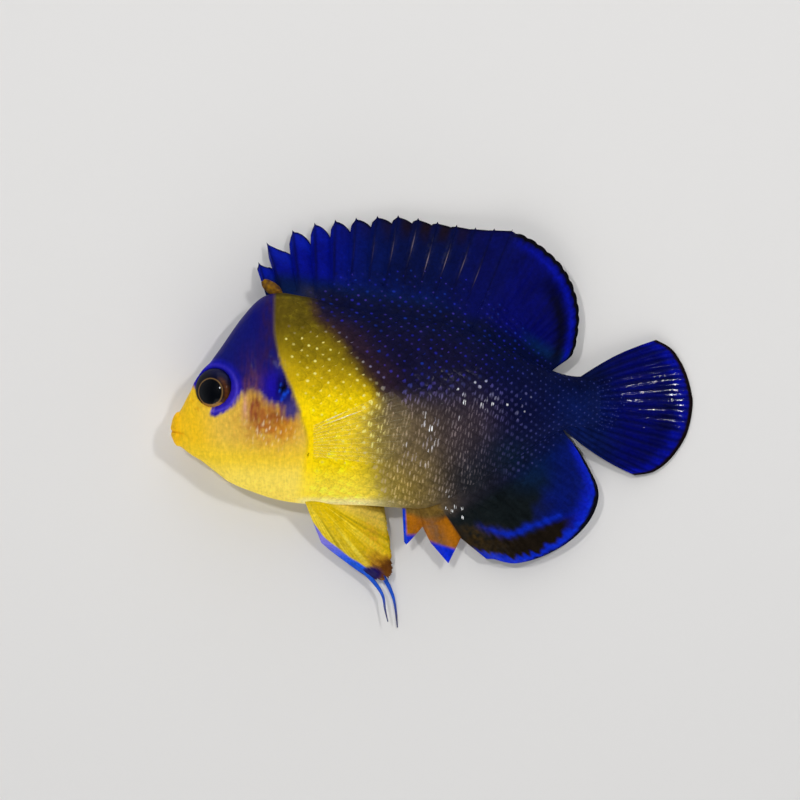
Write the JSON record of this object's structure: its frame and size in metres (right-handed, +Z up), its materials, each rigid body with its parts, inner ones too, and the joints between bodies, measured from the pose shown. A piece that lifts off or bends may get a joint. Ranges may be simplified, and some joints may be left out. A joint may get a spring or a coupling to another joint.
{
  "type": "purplemask angelfish",
  "caption": "Small reef fish lying on its right side, with deep flat body, ray-ribbed fins, fan tail and trailing belly-fin filaments.",
  "frame": {"origin": "on the floor under the middle of the fish's bounding box", "axes": "+X from the snout towards the tail, +Y from the belly towards the back, +Z up out of the floor, towards the fish's left side"},
  "size_m": [0.0551, 0.0436, 0.01],
  "materials": {
    "head_skin": "wet orange-yellow skin with a blue-violet mask over eye and nape",
    "body_skin": "wet scaled skin, yellow in front, purple-black to dark blue behind",
    "blue_fin": "deep ultramarine fin membrane with darker rays and black edge",
    "clear_fin": "clear, faintly yellow fin membrane with fine rays",
    "yellow_fin": "yellow fin membrane with a bright blue front edge and brown tip",
    "eye": "clear glossy eye, dark brown iris with a thin gold ring, black pupil"
  },
  "bodies": {
    "root": {"head": "head_skin", "lower_jaw": "head_skin", "trunk": "body_skin", "tail_peduncle": "body_skin", "dorsal_fin_spiny": "blue_fin", "dorsal_fin_soft": "blue_fin", "anal_fin": "blue_fin", "caudal_fin": "blue_fin", "pectoral_fin_left": "clear_fin", "pectoral_fin_right": "clear_fin", "pelvic_fin_left": "yellow_fin", "pelvic_fin_right": "yellow_fin", "eye_left": "eye", "eye_right": "eye"}
  },
  "joints": []
}
